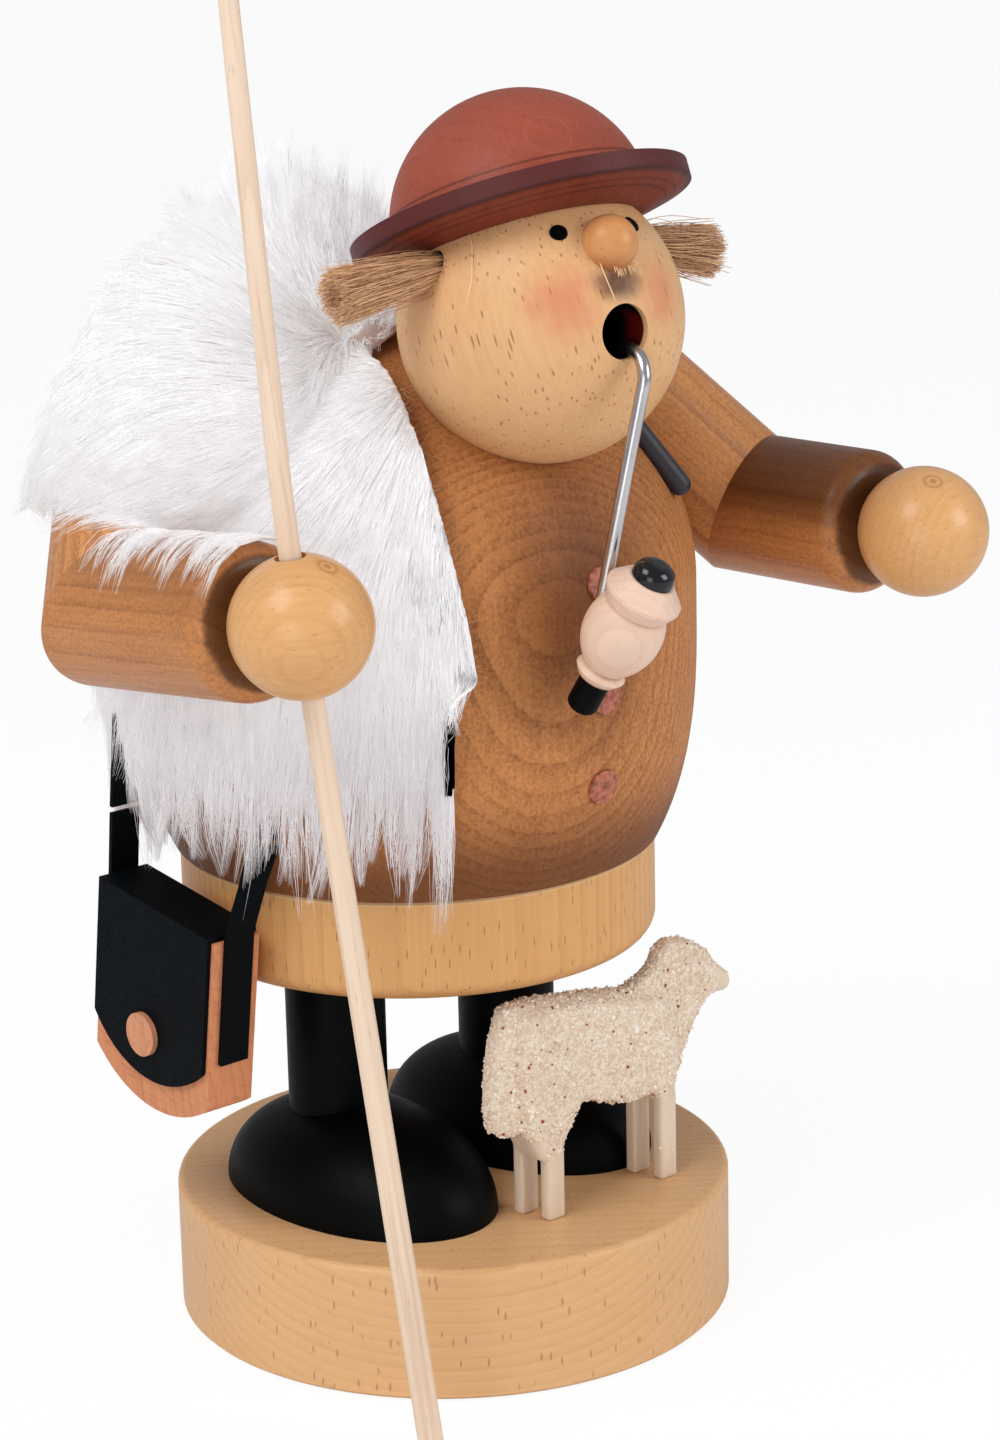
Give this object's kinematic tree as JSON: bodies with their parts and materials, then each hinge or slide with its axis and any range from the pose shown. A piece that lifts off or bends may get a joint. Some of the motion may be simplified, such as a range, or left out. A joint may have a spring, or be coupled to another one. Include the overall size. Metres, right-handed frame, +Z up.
{
  "type": "german incense smoker",
  "caption": "Turned-wood shepherd figure on a round base, with a hollow body that lifts off its waist ring over an incense tray, open mouth, wire pipe, loose staff, fur cape, bag and sheep.",
  "frame": {"origin": "centre of the round base's underside, on the table", "axes": "+Z up; the figure faces -Y; its left hand is on +X"},
  "size_m": [0.1405, 0.1107, 0.2283],
  "materials": {
    "beech": "natural beech, silk clear lacquer",
    "stained_wood": "walnut-brown water stain under silk lacquer",
    "hat_wood": "reddish-brown stain under silk lacquer",
    "black_paint": "black satin lacquer on turned wood",
    "bag_wood": "reddish natural wood, unlacquered",
    "pipe_wood": "pale turned wood, silk lacquer",
    "pale_stick": "raw whittled softwood",
    "bare_wood": "plain glued dowel",
    "leather": "thin black leather, matte",
    "fur": "white pelt",
    "sheep_coat": "carved wood with a cream grit coat",
    "hair": "brown and blond natural fibre",
    "wire": "nickel-plated wire",
    "tray_metal": "thin pressed sheet, dull",
    "nail": "plain steel nail"
  },
  "bodies": {
    "stand": {"base_disc": "beech", "boot_right": "black_paint", "boot_left": "black_paint", "leg_right": "black_paint", "leg_left": "black_paint", "foot_dowels": "bare_wood", "waist_ring": "beech", "incense_tray": "tray_metal", "tray_nail": "nail", "sheep": "sheep_coat"},
    "staff": {"staff": "pale_stick"},
    "pipe": {"pipe_stem": "wire", "pipe_bowl": "pipe_wood", "pipe_foot": "black_paint", "pipe_lid": "black_paint"},
    "bag": {"bag_block": "bag_wood", "bag_flap": "leather", "bag_button": "bag_wood", "bag_straps": "leather"},
    "figure": {"body_barrel": "stained_wood", "coat_buttons": "hat_wood", "coat_toggle": "black_paint", "neck_bush": "bare_wood", "head_ball": "beech", "nose": "beech", "eye_pegs": "black_paint", "hat_brim": "hat_wood", "hat_crown": "hat_wood", "hat_dowel": "bare_wood", "hair_right": "hair", "hair_left": "hair", "upper_arm_right": "stained_wood", "upper_arm_left": "stained_wood", "forearm_right": "stained_wood", "forearm_left": "stained_wood", "hand_right": "beech", "hand_left": "beech", "shoulder_dowels": "bare_wood", "elbow_dowels": "bare_wood", "wrist_dowels": "bare_wood", "shoulder_straps": "leather", "fur_cape": "fur"}
  },
  "joints": [
    {"name": "body_lift", "type": "slide", "parent": "stand", "child": "figure", "axis": [0, 0, 1], "range_m": [0, 0.07]},
    {"name": "staff_slide", "type": "slide", "parent": "figure", "child": "staff", "axis": [-0.1209, 0.0324, 0.9921], "range_m": [0, 0.11]},
    {"name": "pipe_turn", "type": "hinge", "parent": "figure", "child": "pipe", "pos_m": [0.00128, -0.02564, 0.15994], "axis": [-0.1166, -0.9927, 0.0314], "range_deg": [-20, 20]},
    {"name": "bag_swing", "type": "hinge", "parent": "figure", "child": "bag", "pos_m": [-0.04525, 0.0095, 0.0865], "axis": [0, 1, 0], "range_deg": [0, 12]}
  ]
}
